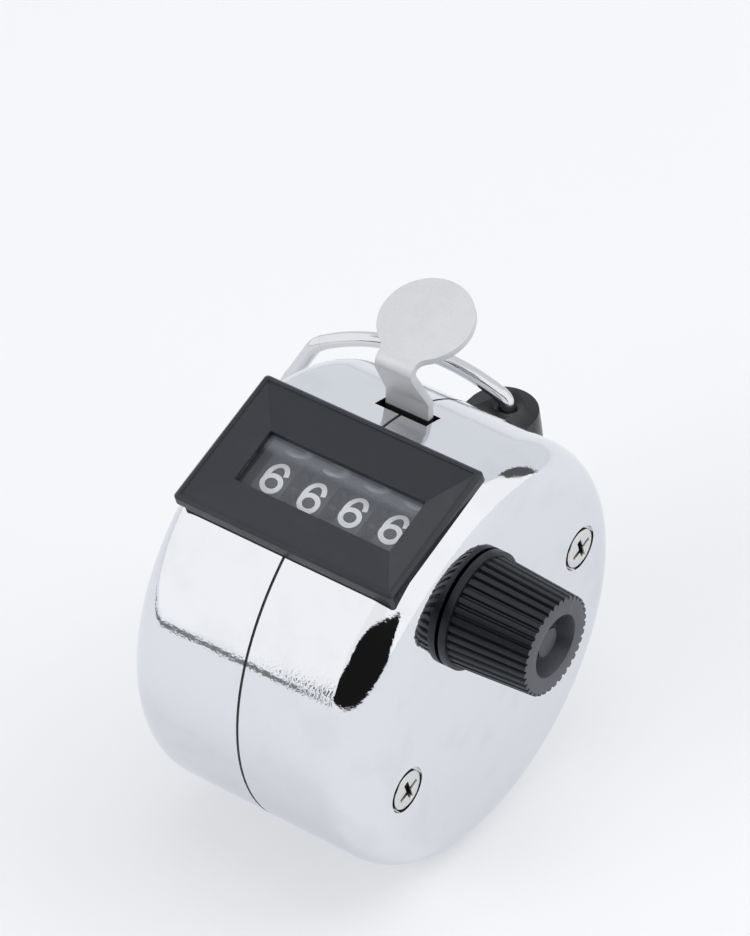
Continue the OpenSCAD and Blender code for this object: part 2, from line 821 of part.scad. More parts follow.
// Outline of the pad in its own plane, from the end of the bend, with hollow corners at the neck
module pad_outline() {
    translate([0, pad_r]) circle(pad_r);
    translate([-neck_w / 2, -bend_r]) square([neck_w, pad_r + bend_r]);
    hollow_x = neck_w / 2 + neck_fillet;
    hollow_y = pad_r - sqrt(pow(pad_r + neck_fillet, 2) - hollow_x * hollow_x);
    touch = [0, pad_r] + pad_r / (pad_r + neck_fillet) * [hollow_x, hollow_y - pad_r];
    difference() {
        polygon([[-hollow_x, hollow_y], [hollow_x, hollow_y], touch, [-touch[0], touch[1]]]);
        for (side = [-1, 1]) translate([side * hollow_x, hollow_y]) circle(neck_fillet);
    }
}

// Front view of the lever below its bend: blade with shoulders, arm to the ratchet, stem and neck
module lever_outline() {
    translate([-blade_w / 2, blade_bottom - 1]) square([blade_w, blade_top - blade_bottom + 1]);
    translate([0, arm_mid - arm_h / 2]) square([arm_right, arm_h]);
    polygon([
        [-stem_w / 2, blade_top - 1], [stem_w / 2, blade_top - 1], [stem_w / 2, lean_start],
        [neck_w / 2, neck_z - bend_r], [neck_w / 2, neck_z], [-neck_w / 2, neck_z],
        [-neck_w / 2, neck_z - bend_r], [-stem_w / 2, lean_start]
    ]);
}

module thumb_lever() {
    path = lever_path();
    bend_end = path[len(path) - 2];
    slot_r = stud_d / 2 + fit_gap;
    slot_low = stud_low - move_gap / 2;
    slot_high = stud_high + lever_travel + move_gap;
    color("silver") on_drum() difference() {
        union() {
            intersection() {
                along_x(-drum_w / 2, drum_w) polygon(strip_outline(path, lever_t));
                union() {
                    translate([0, drum_r, 0]) rotate([90, 0, 0]) linear_extrude(drum_d) lever_outline();
                    translate([0, bend_end[0], bend_end[1]]) rotate([pad_tilt, 0, 0])
                        translate([0, 0, -lever_t]) linear_extrude(2 * lever_t) pad_outline();
                }
            }
            block([-foot_w / 2, blade_y, blade_bottom], [foot_w / 2, blade_front + foot_l, blade_bottom + lever_t]);
        }
        for (z = [slot_low, slot_high]) translate([0, blade_front - over, z]) rotate([-90, 0, 0])
            cylinder(r = slot_r, h = lever_t + 2 * over);
        block([-slot_r, blade_front - over, slot_low], [slot_r, blade_back + over, slot_high]);
    }
}

// Spring blade on the lever's arm, bent forward to push the ratchet's teeth down
module drive_pawl() {
    top = arm_mid + arm_h / 2;
    color("gainsboro") on_drum() along_x(pawl_x, pawl_w) polygon([
        [blade_front - fit_gap, top], [blade_front - fit_gap, arm_mid - arm_h / 2],
        [blade_front - pawl_t, arm_mid - arm_h / 2], [blade_front - pawl_t, arm_mid],
        [tip_y, arm_mid - pawl_t], [tip_y, arm_mid + pawl_t / 2], [blade_front - pawl_t, top]
    ]);
}

module pawl_rivets() {
    color("silver") on_drum() for (side = [-1, 1])
        translate([pawl_x + pawl_w / 2, blade_back, arm_mid + side * arm_h / 4])
            rotate([-90, 0, 0]) cylinder(d = rivet_d, h = rivet_h);
}

// Rings of points round a coil, six points to a ring
module coil(r, wire, turns, low, high) {
    per_turn = 14;
    sides = 6;
    rings = turns * per_turn;
    points = [for (k = [0:rings], s = [0:sides - 1])
        let (
            a = 360 * k / per_turn,
            b = 360 * s / sides,
            reach = r + wire / 2 * cos(b)
        )
        [reach * cos(a), reach * sin(a), low + (high - low) * k / rings + wire / 2 * sin(b)]];
    walls = [for (k = [0:rings - 1], s = [0:sides - 1], half = [0, 1])
        let (
            n = (s + 1) % sides,
            p = k * sides
        )
        half == 0 ? [p + s, p + sides + s, p + n] : [p + n, p + sides + s, p + sides + n]];
    first = [[0, 1, 2], [0, 2, 3], [0, 3, 4], [0, 4, 5]];
    last = [for (f = first) [rings * sides + f[0], rings * sides + f[2], rings * sides + f[1]]];
    polyhedron(points, concat(walls, first, last));
}

module return_spring() {
    color("dimgray") on_drum() translate([0, spring_y, 0])
        coil(spring_r, spring_wire, spring_turns, spring_low, spring_high);
}

// Stretch of wire in the plane of local x and z that starts at a point and bends to the right, from one heading to another.
// A swollen stretch laps a little over its neighbours.
module wire_arc(start, from, to, r, swell) {
    lap = swell > 0 ? wire_lap / r * 180 / PI : 0;
    centre = start + r * [sin(from), -cos(from)];
    rotate([90, 0, 0]) translate(centre) rotate([0, 0, to + 90 - lap])
        rotate_extrude(angle = from - to + 2 * lap) translate([r, 0]) circle(wire_r + swell);
}

// Upper half of the ring up to its bow: hinge pin, tight bend, arm, corner and straight stretch
module half_ring() {
    translate([0, 0, bend_z - pin_l]) cylinder(r = wire_r, h = pin_l);
    wire_arc([0, bend_z], 90, ring_rise, ring_bend_r, wire_swell);
    wire_arc(arm_start, ring_rise, -ring_fall, ring_arm_r, 0);
    wire_arc(corner_start, -ring_fall, -ring_slope, ring_corner_r, wire_swell);
    translate([side_start[0], 0, side_start[1]]) rotate([0, 90 + ring_slope, 0]) cylinder(r = wire_r, h = ring_side);
}

module finger_ring() {
    color("gainsboro") on_drum() translate([0, hinge_y, 0]) rotate([0, 0, 90 + ring_swing]) {
        half_ring();
        mirror([0, 0, 1]) half_ring();
        wire_arc(bow_start, -ring_slope, ring_slope - 180, bow_r, wire_swell);
    }
}

left_shell();
right_shell();
window_frame();
window_lens();
left_plate();
right_plate();
case_posts();
left_screws();
right_screws();
left_bush();
right_bush();
pinion_rod();
lever_guide();
guide_studs();
spring_bridge();
detent_block();
detent_spring();
ring_lug();
wheel_shaft();
shaft_clip();
reset_knob();
thousands_wheel();
hundreds_wheel();
tens_wheel();
units_wheel();
units_ratchet();
thousands_pinion();
hundreds_pinion();
tens_pinion();
thumb_lever();
drive_pawl();
pawl_rivets();
return_spring();
finger_ring();
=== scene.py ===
"""Looks of a hand tally counter: finishes for its solids, printed digits and a pale studio."""
import json
import math

import bpy
from mathutils import Matrix, Vector

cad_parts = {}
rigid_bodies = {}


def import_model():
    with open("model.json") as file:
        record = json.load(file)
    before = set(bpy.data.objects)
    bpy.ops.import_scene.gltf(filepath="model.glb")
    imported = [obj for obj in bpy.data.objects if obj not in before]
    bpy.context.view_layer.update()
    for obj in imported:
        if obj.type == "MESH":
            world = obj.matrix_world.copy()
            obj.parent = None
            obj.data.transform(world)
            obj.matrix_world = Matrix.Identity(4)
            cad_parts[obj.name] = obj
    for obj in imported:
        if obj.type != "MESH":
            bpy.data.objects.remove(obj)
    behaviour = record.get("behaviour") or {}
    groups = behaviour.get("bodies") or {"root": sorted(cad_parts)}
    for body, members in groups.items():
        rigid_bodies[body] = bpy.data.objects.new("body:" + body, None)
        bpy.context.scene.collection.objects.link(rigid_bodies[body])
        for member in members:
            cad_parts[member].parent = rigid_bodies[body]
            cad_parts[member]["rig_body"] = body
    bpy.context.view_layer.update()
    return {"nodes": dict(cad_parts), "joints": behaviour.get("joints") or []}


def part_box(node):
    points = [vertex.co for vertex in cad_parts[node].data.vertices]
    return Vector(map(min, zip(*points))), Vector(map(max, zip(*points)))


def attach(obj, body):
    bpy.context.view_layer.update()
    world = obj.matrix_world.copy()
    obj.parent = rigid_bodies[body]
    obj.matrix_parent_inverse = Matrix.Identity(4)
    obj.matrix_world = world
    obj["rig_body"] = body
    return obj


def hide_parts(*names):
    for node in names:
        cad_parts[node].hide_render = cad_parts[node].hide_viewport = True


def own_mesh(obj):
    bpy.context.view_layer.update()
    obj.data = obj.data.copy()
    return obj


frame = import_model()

bl_info = {
    "name": "Hand tally counter",
    "version": (1, 0, 0),
    "blender": (4, 5, 0),
    "location": "View3D > Sidebar > Counter",
    "description": "Dresses the solids of a hand tally counter and sets up its studio",
    "category": "Object",
}

MM = 0.001
NODES = frame["nodes"]
JOINTS = {joint["name"]: joint for joint in frame["joints"]}

# Places and sizes of the solids

DRUM_LOW, DRUM_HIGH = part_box("right_shell")
DRUM_CENTRE = Vector((0, 0, (DRUM_LOW.z + DRUM_HIGH.z) / 2))
DRUM_R = (DRUM_HIGH.z - DRUM_LOW.z) / 2
KNOB_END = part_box("reset_knob")[1].x
KNOB_DISH_R = 3.4 * MM
SLOT_BACK = 5.3 * MM
SLOT_TOP = DRUM_CENTRE.z + math.sqrt(DRUM_R ** 2 - SLOT_BACK ** 2)
WHEELS = ("thousands", "hundreds", "tens", "units")
WHEEL_AXIS = Vector(JOINTS["units_turn"]["pos_m"])
WHEEL_R = (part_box("thousands_wheel")[1].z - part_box("thousands_wheel")[0].z) / 2

# Print: degrees by which each wheel's digits stand off their place, how they are cut, and the gap under them

SLIPS = {"thousands": 0.0, "hundreds": 1.7, "tens": -1.6, "units": -3.0}
DIGITS = 10
DIGIT_STEP = math.radians(360 / DIGITS)
DIGIT_SLICES = 14
PRINT_GAP = 0.008 * MM

# Edges: hard ones are rounded over, those up to a smooth limit are shaded smooth, and flat ones are dissolved

HARD_EDGE = math.radians(35)
SMOOTH_EDGE = math.radians(32)
FRAME_SMOOTH_EDGE = math.radians(10)
FLAT_EDGE = math.radians(0.5)
EDGE_SEGMENTS = 3

# Lamps: name, place, size and watts

LAMPS = (
    ("key_softbox", (0.4, 0.45, 0.8), (0.7, 0.6), 3.2),
    ("side_softbox", (0.9, 0.0, 0.45), (0.7, 0.6), 1.0),
    ("front_softbox", (-0.25, -0.8, 0.5), (0.6, 0.5), 3.3),
    ("top_softbox", (0.0, -0.05, 1.0), (0.5, 0.5), 1.5),
)

# Cards: name, brightness, distance and corners, as azimuth and elevation in degrees from the drum

CARDS = (
    ("dark_room", 0.01, 0.75, (
        (-26, -4), (15, -3), (52, -5.5), (71, -8), (77, -5), (73, 5), (71, 25),
        (46, 37), (9, 40), (-11, 32), (-16, 18), (-23, 6))),
    ("table_edge", 0.2, 0.28, ((-75, -6.7), (-23, -4.4), (-23, -1.9), (-75, -4.7))),
    ("dark_corner", 0.1, 0.6, (
        (148, 2), (150.5, -2), (155, 7), (157.5, 15), (158.5, 21), (158.5, 27.5),
        (155, 33.5), (147, 23), (146, 15.5), (145.5, 8))),
    ("white_wall", 1.07, 0.9, ((-115, -5), (-27, -4), (-20, 30), (-12, 58), (-45, 48), (-115, 42))),
    ("dim_ceiling", 0.42, 0.8, ((-85, 47), (-48, 50), (-22, 62), (-60, 72))),
    ("right_softbox", 1.1, 0.8, ((76, 0), (112, -2), (112, 72), (30, 72), (36, 32), (68, 18))),
    ("back_softbox", 1.1, 0.85, ((106, -2), (130, -2), (150, -2), (152, 45), (125, 62), (106, 66))),
)


# Shader wiring


class Wire:
    """One socket of a finish. Arithmetic on it adds the Math nodes."""

    def __init__(self, finish, socket):
        self.finish = finish
        self.socket = socket

    def math(self, operation, first, second):
        return self.finish.add("ShaderNodeMath", {"operation": operation}, {0: first, 1: second})

    def __add__(self, other):
        return self.math("ADD", self, other)

    def __radd__(self, other):
        return self.math("ADD", other, self)

    def __sub__(self, other):
        return self.math("SUBTRACT", self, other)

    def __rsub__(self, other):
        return self.math("SUBTRACT", other, self)

    def __mul__(self, other):
        return self.math("MULTIPLY", self, other)

    def __rmul__(self, other):
        return self.math("MULTIPLY", other, self)

    def top(self, other):
        """The larger of two values."""
        return self.math("MAXIMUM", self, other)


class Finish:
    """The node tree of one material or of the world."""

    def __init__(self, tree):
        self.tree = tree
        tree.nodes.clear()

    def add(self, kind, settings=None, sockets=None, out=0):
        """One node: its settings first, then its sockets' values or links. Returns one of its outputs."""
        node = self.tree.nodes.new(kind)
        for name, value in (settings or {}).items():
            setattr(node, name, value)
        for name, value in (sockets or {}).items():
            socket = node.inputs[name]
            if isinstance(value, Wire):
                self.tree.links.new(value.socket, socket)
            elif socket.type == "RGBA":
                socket.default_value = (*value[:3], 1)
            else:
                socket.default_value = value
        return Wire(self, node.outputs[out]) if node.outputs else None

    def place(self, scale=(1, 1, 1)):
        """Object coordinates in millimetres, stretched by scale."""
        coords = self.add("ShaderNodeTexCoord", out="Object")
        return self.add("ShaderNodeMapping", None, {"Vector": coords, "Scale": [s / MM for s in scale]})

    def noise(self, size, detail, scale=(1, 1, 1)):
        """Noise from 0 to 1 with features of about size millimetres."""
        sockets = {"Vector": self.place(scale), "Scale": 1 / size, "Detail": detail}
        return self.add("ShaderNodeTexNoise", None, sockets, "Fac")

    def parts(self, vector):
        """The three parts of a vector."""
        first = self.add("ShaderNodeSeparateXYZ", None, {0: vector})
        return [Wire(self, socket) for socket in first.socket.node.outputs]

    def ramp(self, value, low, high):
        """value as a share of the way from low to high."""
        sockets = {"Value": value, "From Min": low, "From Max": high}
        return self.add("ShaderNodeMapRange", {"interpolation_type": "SMOOTHSTEP"}, sockets)

    def blend(self, share, first, second):
        """A colour between two colours."""
        return self.add("ShaderNodeMix", {"data_type": "RGBA"}, {0: share, 6: first, 7: second}, 2)

    def bump(self, height, distance):
        """A normal from a height, with distance in millimetres."""
        return self.add("ShaderNodeBump", None, {"Height": height, "Distance": distance * MM})

    def principled(self, **sockets):
        """The Principled shader with these sockets."""
        return self.add("ShaderNodeBsdfPrincipled", None, {k.replace("_", " "): v for k, v in sockets.items()})

    def mix(self, share, first, second):
        """A shader between two shaders."""
        return self.add("ShaderNodeMixShader", None, {0: share, 1: first, 2: second})

    def show(self, shader, output="ShaderNodeOutputMaterial"):
        """Leads a shader to the output."""
        self.add(output, None, {"Surface": shader})

    def seen(self):
        """1 for rays from the camera, mirrors and clear pieces, and 1 for rays from mirrors alone."""
        outputs = self.add("ShaderNodeLightPath").socket.node.outputs
        camera, mirror, clear = (
            Wire(self, outputs[name]) for name in ("Is Camera Ray", "Is Glossy Ray", "Is Transmission Ray"))
        return camera.top(mirror).top(clear), mirror


def new_finish(name):
    material = bpy.data.materials.new(name)
    material.use_nodes = True
    return material, Finish(material.node_tree)


def shade(colour, factor):
    return tuple(c * factor for c in colour)


def from_drum(f):
    """Object coordinates in millimetres from the middle of the drum."""
    x, y, z = f.parts(f.place())
    return x, y, z - DRUM_CENTRE.z / MM


def up_window(y, up, tilt):
    """Distance up the slope of the window, from the middle of the drum."""
    return y * math.cos(tilt) + up * math.sin(tilt)


# Finishes


def chrome_skin(f, colour, haze):
    """Colour, roughness and normal of a mirror plate with faint wipe marks and a slightly pebbled skin."""
    smudge = f.ramp(f.noise(5.0, 4), 0.48, 0.72)
    wipes = f.noise(0.25, 3, (0.04, 1, 1))
    pebbles = f.noise(0.3, 2) + 3.5 * f.noise(9.0, 1)
    return f.blend(smudge, colour, shade(colour, 0.96)), haze + 0.05 * smudge * wipes, f.bump(pebbles, 0.006)


def chrome_plate(name, colour, haze):
    """Mirror plate with faint wipe marks."""
    material, f = new_finish(name)
    bright, rough, normal = chrome_skin(f, colour, haze)
    f.show(f.principled(Base_Color=bright, Metallic=1.0, Roughness=rough, Normal=normal))
    return material


def shell_plate(name, colour, haze):
    """Mirror plate that turns black in the joint line between the two shells: painted shade for the dark gap
    there.
    """
    material, f = new_finish(name)
    bright, rough, normal = chrome_skin(f, colour, haze)
    x, y, up = from_drum(f)
    radius = DRUM_R / MM
    deep = f.ramp(y * y + up * up, (radius - 0.05) ** 2, (radius - 0.2) ** 2)
    middle = f.ramp(x * x, 0.16 ** 2, 0.12 ** 2)
    # Painted shade: the chrome goes black, dull and not metallic in the groove between the shells, as the
    # unlit gap would look.
    joint = deep * middle
    f.show(f.principled(
        Base_Color=f.blend(joint, bright, (0.01, 0.01, 0.012)),
        Metallic=1.0 - joint,
        Roughness=rough + 0.6 * joint,
        Normal=normal,
    ))
    return material


def lever_plate(name, colour, top):
    """Dull plate with a fine blotchy grain, with painted shade: black below the drum's top, where the lever
    runs in the dark slot.
    """
    material, f = new_finish(name)
    grain = f.noise(0.22, 4)
    patches = f.noise(1.6, 3)
    height = f.parts(f.place())[2]
    # Painted shade: below the top of the drum, inside the slot, the plate turns black, dull and not metallic.
    blade_painted_shade = f.ramp(height, top / MM + 0.05, top / MM - 0.15)
    plate = f.blend(0.65 * grain + 0.35 * patches, shade(colour, 0.84), shade(colour, 1.1))
    f.show(f.principled(
        Base_Color=f.blend(blade_painted_shade, plate, (0.004, 0.004, 0.004)),
        Metallic=0.25 - 0.25 * blade_painted_shade,
        Roughness=0.32 + 0.16 * grain + 0.4 * blade_painted_shade,
        Normal=f.bump(grain, 0.006),
    ))
    return material


def satin_steel(name, colour, grain, rough):
    """Rolled or brushed metal with fine lines along one direction."""
    material, f = new_finish(name)
    lines = f.noise(0.12, 3, grain)
    patches = f.noise(2.5, 3)
    f.show(f.principled(
        Base_Color=f.blend(0.6 * lines + 0.4 * patches, shade(colour, 0.86), shade(colour, 1.06)),
        Metallic=1.0,
        Roughness=rough - 0.06 + 0.1 * lines + 0.04 * patches,
        Normal=f.bump(lines, 0.003),
    ))
    return material


def screw_plate(name, colour):
    """Nickel plate that is bright on the outer faces of the heads, with painted shade making it dark in the
    recesses.
    """
    material, f = new_finish(name)
    lines = f.noise(0.12, 3, (1, 0.6, 0.6))
    x = f.parts(f.place())[0]
    end = DRUM_HIGH.x / MM
    # Painted shade: everywhere deeper than the drum's end face, in the cross recesses and countersinks, the
    # plate is darkened to a sixth.
    out = f.ramp(x * x, (end - 0.1) ** 2, (end + 0.05) ** 2)
    bright = f.blend(lines, shade(colour, 0.9), shade(colour, 1.06))
    f.show(f.principled(
        Base_Color=f.blend(out, shade(colour, 0.16), bright),
        Metallic=1.0,
        Roughness=0.2 + 0.1 * lines,
        Normal=f.bump(lines, 0.003),
    ))
    return material


def moulded_skin(f, colour, rough, texture):
    """Colour, roughness and normal of moulded plastic with a fine skin texture and rubbed patches."""
    skin = f.noise(0.09, 2)
    rubbed = f.ramp(f.noise(3.2, 4), 0.5, 0.75)
    return (f.blend(rubbed, colour, shade(colour, 1.25)),
            rough + 0.08 * skin - 0.07 * rubbed,
            f.bump(skin, texture))


def moulded_plastic(name, colour, rough, texture, gloss=0.5):
    """Moulded plastic with rubbed patches."""
    material, f = new_finish(name)
    tone, roughness, normal = moulded_skin(f, colour, rough, texture)
    f.show(f.principled(Base_Color=tone, Roughness=roughness, Normal=normal, Specular_IOR_Level=gloss))
    return material


def frame_plastic(name, colour, tilt):
    """Moulded plastic of the window frame, with painted shade in black along the foot of its outer walls,
    where they come down to the drum.
    """
    material, f = new_finish(name)
    tone, roughness, normal = moulded_skin(f, colour, 0.32, 0.004)
    x, y, up = from_drum(f)
    radius = DRUM_R / MM
    spread = y * y + up * up
    wide, tall, shift = 12.5, 7.45, 0.2
    along = up_window(y, up, tilt) + shift
    side = f.ramp(x * x, (wide - 0.1) ** 2, (wide + 0.1) ** 2)
    front = f.ramp(along * along, (tall - 0.15) ** 2, (tall + 0.15) ** 2) * (1.0 - side)
    # Painted shade: the walls turn black and dull at their foot, for the shadowed gap between frame and drum.
    front_foot_shade = front * f.ramp(spread, (radius + 0.5) ** 2, (radius + 0.4) ** 2)
    side_foot_shade = side * f.ramp(spread, radius ** 2, (radius - 0.1) ** 2)
    foot = front_foot_shade + side_foot_shade
    f.show(f.principled(
        Base_Color=f.blend(foot, tone, (0.002, 0.002, 0.002)),
        Roughness=roughness + 0.5 * foot,
        Normal=normal,
    ))
    return material


def clear_plastic(name, colour, tilt):
    """Thin window that shows the wheels through a faint grey layer, thickest along the upper edge: painted
    shade of the frame's top edge and a painted hazy reflection.
    """
    material, f = new_finish(name)
    dust = f.ramp(f.noise(0.5, 4), 0.55, 0.8)
    through = f.add("ShaderNodeBsdfTransparent", None, {"Color": colour})
    gloss = f.principled(Base_Color=colour, Metallic=1.0, Roughness=0.02 + 0.05 * dust)
    # Painted shade and painted reflection: a grey matt layer over the wheels, standing in for the frame's
    # shadow and the lens's hazy reflection.
    painted_film = f.principled(Base_Color=(0.182, 0.189, 0.22), Roughness=0.5, Specular_IOR_Level=0.2)
    back = f.add("ShaderNodeNewGeometry", out="Backfacing")
    acrylic, back_share = 1.49, 0.065
    share = f.add("ShaderNodeFresnel", None, {"IOR": acrylic}) * (1.0 - back) + back_share * back
    _, y, up = from_drum(f)
    # Share of that painted grey layer: thin all over, more towards the upper edge, none on the back face.
    thin, more, low, high = 0.18, 0.54, 0.8, 2.1
    painted_veil = (thin + more * f.ramp(up_window(y, up, tilt), low, high)) * (1.0 - back)
    f.show(f.mix(share, f.mix(painted_veil, through, painted_film), gloss))
    return material


def knob_plastic(name, colour):
    """Black moulded plastic, with the knob's flat end and its dish paler and duller."""
    material, f = new_finish(name)
    skin = f.noise(0.09, 2)
    rubbed = f.ramp(f.noise(1.2, 4), 0.55, 0.8)
    x, y, z = f.parts(f.place())
    tip, rim = KNOB_END / MM, KNOB_DISH_R / MM
    end = f.ramp(x, tip - 0.06, tip - 0.02)
    across, up = y - WHEEL_AXIS.y / MM, z - WHEEL_AXIS.z / MM
    inside = f.ramp(across * across + up * up, (rim + 0.05) ** 2, (rim - 0.1) ** 2)
    dish = inside * f.ramp(x, tip - 2.2, tip - 2.0)
    barrel = f.blend(rubbed, colour, shade(colour, 1.6))
    f.show(f.principled(
        Base_Color=f.blend(end, f.blend(dish, barrel, (0.05, 0.05, 0.056)), (0.085, 0.085, 0.092)),
        Roughness=0.38 + 0.08 * skin + 0.12 * end - 0.06 * rubbed,
        Normal=f.bump(skin, 0.003),
        Specular_IOR_Level=0.52,
        Specular_Tint=(0.84, 0.89, 1.0),
    ))
    return material


def printed_paint(name, colour):
    """White print with small worn spots, which glows a little: painted light."""
    material, f = new_finish(name)
    wear = f.ramp(f.noise(0.22, 3), 0.6, 0.8)
    f.show(f.principled(
        Base_Color=f.blend(wear, colour, shade(colour, 0.82)),
        Roughness=0.5 + 0.15 * wear,
        # Painted light: the print glows a little, as though it were lit more brightly than it is.
        Emission_Color=colour,
        Emission_Strength=0.15,
    ))
    return material


def coat(piece, material):
    """Makes this the piece's only material."""
    piece.data.materials.clear()
    piece.data.materials.append(material)


def dress(material, *nodes):
    """Gives CAD nodes their material."""
    for name in nodes:
        coat(NODES[name], material)


# Hand work


def start_object():
    """Leaves nothing selected and no edit mode behind."""
    if bpy.context.object and bpy.context.object.mode != "OBJECT":
        bpy.ops.object.mode_set(mode="OBJECT")
    bpy.ops.object.select_all(action="DESELECT")


def pick(*pieces):
    start_object()
    for piece in pieces:
        piece.select_set(True)
    bpy.context.view_layer.objects.active = pieces[0]


def select_where(piece, kind, chosen, sharper=None):
    """Leaves edit mode on, with the vertices or edges selected that chosen picks.

    With sharper, the edges sharper than that angle are selected when chosen sees them.
    """
    pick(piece)
    bpy.ops.object.mode_set(mode="EDIT")
    bpy.ops.mesh.select_mode(type=kind)
    bpy.ops.mesh.select_all(action="DESELECT")
    if sharper is not None:
        bpy.ops.mesh.edges_select_sharp(sharpness=sharper)
    bpy.ops.object.mode_set(mode="OBJECT")
    for part in piece.data.vertices if kind == "VERT" else piece.data.edges:
        part.select = chosen(part)
    bpy.ops.object.mode_set(mode="EDIT")


def join_flat(threshold):
    """Joins the corners of the mesh in edit mode and makes its flat faces whole, then leaves edit mode."""
    bpy.ops.mesh.select_all(action="SELECT")
    bpy.ops.mesh.remove_doubles(threshold=threshold)
    bpy.ops.mesh.dissolve_limited(angle_limit=FLAT_EDGE)
    bpy.ops.object.mode_set(mode="OBJECT")


def merged_copy(node, name):
    """A copy of a CAD node's mesh with its corners joined and its flat faces whole."""
    start_object()
    piece = bpy.data.objects.new(name, NODES[node].data.copy())
    bpy.context.scene.collection.objects.link(piece)
    pick(piece)
    bpy.ops.mesh.customdata_custom_splitnormals_clear()
    bpy.ops.object.mode_set(mode="EDIT")
    join_flat(0.001 * MM)
    return piece


def stand_in(piece, node, material, smooth=SMOOTH_EDGE):
    """Lets a copy stand for its node. Edges up to smooth are shaded smooth."""
    pick(piece)
    bpy.ops.object.shade_smooth_by_angle(angle=smooth)
    coat(piece, material)
    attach(piece, NODES[node]["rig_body"])
    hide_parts(node)


def soften(piece, node, width, material, clamp=True):
    """Rounds a copy's hard edges over and lets it stand for its node."""
    edge = piece.modifiers.new("soft_edges", "BEVEL")
    edge.width = width
    edge.segments = EDGE_SEGMENTS
    edge.limit_method = "ANGLE"
    edge.angle_limit = HARD_EDGE
    edge.use_clamp_overlap = clamp
    pick(piece)
    bpy.ops.object.modifier_apply(modifier=edge.name)
    stand_in(piece, node, material)


def soft_copy(node, name, width, material):
    """A copy of a CAD node with its hard edges rounded over, which stands for the node."""
    soften(merged_copy(node, name), node, width, material)


# Settings


class CounterSizes(bpy.types.PropertyGroup):
    """Sizes of what is printed on the wheels."""

    digit_height: bpy.props.FloatProperty(
        name="Digit height", description="Height of a printed digit",
        default=3.65 * MM, unit="LENGTH", precision=5)
    digit_width: bpy.props.FloatProperty(
        name="Digit width", description="Width of a printed digit",
        default=2.45 * MM, unit="LENGTH", precision=5)
    print_shift: bpy.props.FloatProperty(
        name="Print shift", description="Shift of the print along its band",
        default=-0.2 * MM, unit="LENGTH", precision=5)
    digit_stroke: bpy.props.FloatProperty(
        name="Digit stroke", description="Stroke of a printed digit",
        default=0.53 * MM, unit="LENGTH", precision=5)
    print_thickness: bpy.props.FloatProperty(
        name="Print thickness", description="Thickness of the print",
        default=0.03 * MM, unit="LENGTH", precision=6)
    shown_digit: bpy.props.IntProperty(
        name="Shown digit", description="Digit that every wheel shows at rest",
        default=6, min=0, max=9)
    window_tilt: bpy.props.FloatProperty(
        name="Window tilt", description="Lean of the window from straight up",
        default=math.radians(19.4), subtype="ANGLE")


class CounterColours(bpy.types.PropertyGroup):
    """Colours of the finishes."""

    chrome: bpy.props.FloatVectorProperty(
        name="Chrome", description="Plate on the two shells",
        default=(0.80, 0.81, 0.83), subtype="COLOR")
    wire: bpy.props.FloatVectorProperty(
        name="Ring wire", description="Bright wire of the finger ring",
        default=(0.72, 0.72, 0.73), subtype="COLOR")
    steel: bpy.props.FloatVectorProperty(
        name="Steel", description="Plates, posts and shafts inside",
        default=(0.62, 0.62, 0.63), subtype="COLOR")
    lever: bpy.props.FloatVectorProperty(
        name="Lever", description="Satin plate of the thumb lever",
        default=(0.65, 0.655, 0.67), subtype="COLOR")
    screws: bpy.props.FloatVectorProperty(
        name="Screws", description="Nickel plate of the screws",
        default=(0.74, 0.73, 0.71), subtype="COLOR")
    brass: bpy.props.FloatVectorProperty(
        name="Brass", description="Bushes and ratchet",
        default=(0.72, 0.56, 0.28), subtype="COLOR")
    frame: bpy.props.FloatVectorProperty(
        name="Window frame", description="Black moulded frame",
        default=(0.0155, 0.0165, 0.0215), subtype="COLOR")
    lens: bpy.props.FloatVectorProperty(
        name="Lens", description="Tint of the clear lens",
        default=(0.978, 0.98, 0.985), subtype="COLOR")
    knob: bpy.props.FloatVectorProperty(
        name="Knob", description="Black moulded knob",
        default=(0.005, 0.005, 0.006), subtype="COLOR")
    lug: bpy.props.FloatVectorProperty(
        name="Ring lug", description="Black lug behind the drum",
        default=(0.008, 0.008, 0.009), subtype="COLOR")
    wheels: bpy.props.FloatVectorProperty(
        name="Wheels", description="Number wheels",
        default=(0.043, 0.046, 0.055), subtype="COLOR")
    digits: bpy.props.FloatVectorProperty(
        name="Digits", description="Print on the wheels",
        default=(0.97, 0.975, 0.985), subtype="COLOR")
    pinions: bpy.props.FloatVectorProperty(
        name="Pinions", description="Carry pinions",
        default=(0.78, 0.76, 0.7), subtype="COLOR")
    floor: bpy.props.FloatVectorProperty(
        name="Floor", description="Studio floor",
        default=(0.88, 0.885, 0.9), subtype="COLOR")


class CounterView(bpy.types.PropertyGroup):
    """Place of the camera."""

    azimuth: bpy.props.FloatProperty(
        name="Azimuth", description="Turn of the camera to the right of the front",
        default=math.radians(35.9), subtype="ANGLE")
    elevation: bpy.props.FloatProperty(
        name="Elevation", description="Height of the camera above the horizon",
        default=math.radians(41.17), subtype="ANGLE")
    distance: bpy.props.FloatProperty(
        name="Distance", description="Distance from the middle of the drum",
        default=437.3 * MM, unit="LENGTH")
    lens: bpy.props.FloatProperty(
        name="Lens", description="Focal length",
        default=169.85, subtype="DISTANCE_CAMERA")
    rise: bpy.props.FloatProperty(
        name="Rise", description="How far the camera aims above the middle of the drum",
        default=14.12 * MM, unit="LENGTH")


# Operators


class COUNTER_OT_shells(bpy.types.Operator):
    """Chrome plate on the two half shells"""

    bl_idname = "counter.shells"
    bl_label = "Chrome shells"

    def execute(self, context):
        colours = context.scene.counter_colours
        dress(shell_plate("chrome_shell_plate", tuple(colours.chrome), 0.03), "left_shell", "right_shell")
        return {"FINISHED"}


